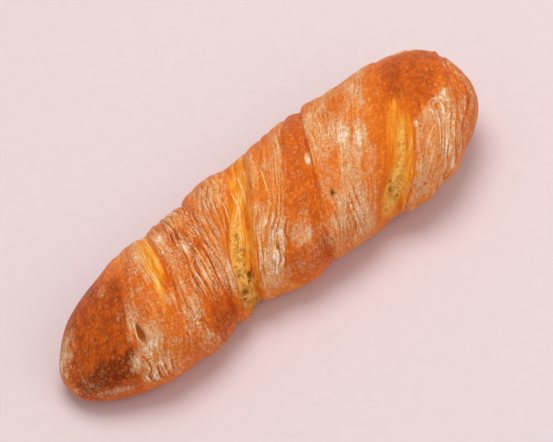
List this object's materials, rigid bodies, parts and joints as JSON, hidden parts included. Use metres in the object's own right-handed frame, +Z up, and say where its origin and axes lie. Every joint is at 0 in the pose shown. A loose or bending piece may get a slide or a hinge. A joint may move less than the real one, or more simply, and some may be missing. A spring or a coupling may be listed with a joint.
{
  "type": "twisted ciabatta loaf",
  "caption": "Long hand-twisted rustic loaf with floury crust, slanting torn seams that show the crumb, blunt and slim rounded ends and a flat baked underside.",
  "frame": {"origin": "under the middle of the loaf, on the flat underside it was baked on", "axes": "+X along the loaf from its slim end to its blunt end, +Z up from the underside through the crown; -Y is the side with the widest tears"},
  "size_m": [0.3, 0.0978, 0.0687],
  "materials": {
    "crust": "baked bread crust, orange-brown with a faint sheen, dusted with matte flour in stripes along the twist",
    "crumb": "torn bread crumb, yellow cream, matte and porous",
    "flour": "clumps of baked-on flour, matte"
  },
  "bodies": {
    "root": {"loaf": "crust"}
  },
  "joints": []
}
